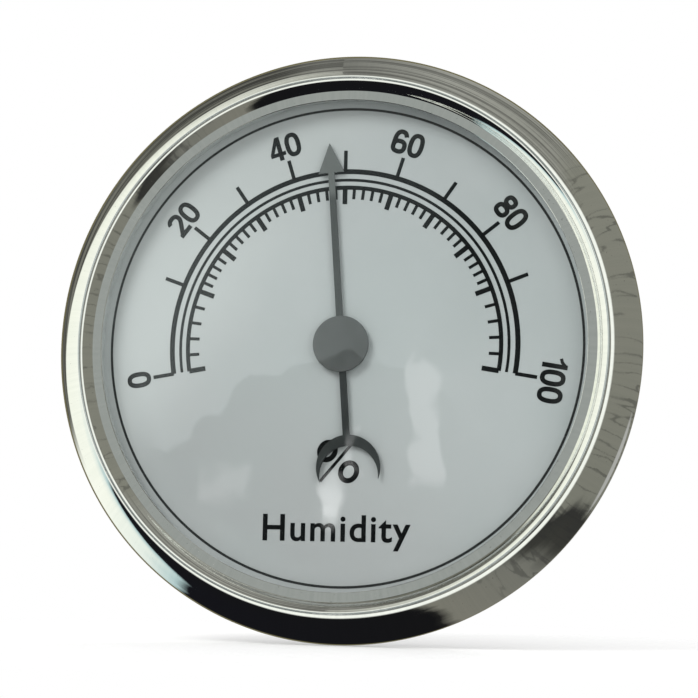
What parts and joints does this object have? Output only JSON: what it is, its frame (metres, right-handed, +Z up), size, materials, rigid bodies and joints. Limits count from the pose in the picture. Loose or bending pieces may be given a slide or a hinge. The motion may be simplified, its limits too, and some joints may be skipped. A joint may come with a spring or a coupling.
{
  "type": "dial hygrometer",
  "caption": "Round dial hygrometer: coil-driven pointer behind flat glass in a rolled metal bezel, on a vented plastic cup with a hanging keyhole and a calibration hole.",
  "frame": {"origin": "centre of the rear face of the cup, which lies against the wall", "axes": "+Z up the dial to the 50 mark, +X to the right seen from the front, +Y out of the rear; the dial faces -Y"},
  "size_m": [0.07, 0.0152, 0.07],
  "materials": {
    "black_plastic": "satin moulded black plastic",
    "chrome": "bright chrome plate on a rolled ring",
    "glass": "clear flat glass",
    "grey_plastic": "plain grey moulding",
    "tan_board": "tan fibre board, unpainted",
    "dial_white": "light grey-white print, satin",
    "brass": "plain turned or stamped brass",
    "steel": "bright steel",
    "dark_steel": "blackened steel",
    "spring_bronze": "rolled bronze strip",
    "moisture_film": "pale moisture sensitive film",
    "nylon": "natural nylon",
    "pointer_grey": "dark grey satin paint"
  },
  "bodies": {
    "case": {"housing": "black_plastic", "bezel": "chrome", "lens": "glass", "spacer_ring": "grey_plastic", "dial_board": "tan_board", "dial_sheet": "dial_white", "dial_bush": "brass", "movement_plate": "brass", "movement_screws": "steel"},
    "regulator": {"calibration_screw": "dark_steel", "friction_washer": "spring_bronze", "rear_bush": "brass", "regulator_arm": "brass", "coil_post": "steel", "coil_metal_strip": "spring_bronze", "coil_moisture_film": "moisture_film"},
    "pointer_shaft": {"arbor": "steel", "coil_collet": "brass", "thrust_washer": "nylon", "pointer": "pointer_grey", "pointer_hub": "pointer_grey"}
  },
  "joints": [
    {"name": "calibration_turn", "type": "hinge", "parent": "case", "child": "regulator", "pos_m": [0, 0, 0], "axis": [0, 1, 0], "range_deg": [-20, 20]},
    {"name": "pointer_turn", "type": "hinge", "parent": "regulator", "child": "pointer_shaft", "pos_m": [0, 0, 0], "axis": [0, 1, 0], "range_deg": [-95.1, 104.1], "stiffness_Nm_per_rad": 0.00027, "deforming": ["coil_metal_strip", "coil_moisture_film"]}
  ]
}
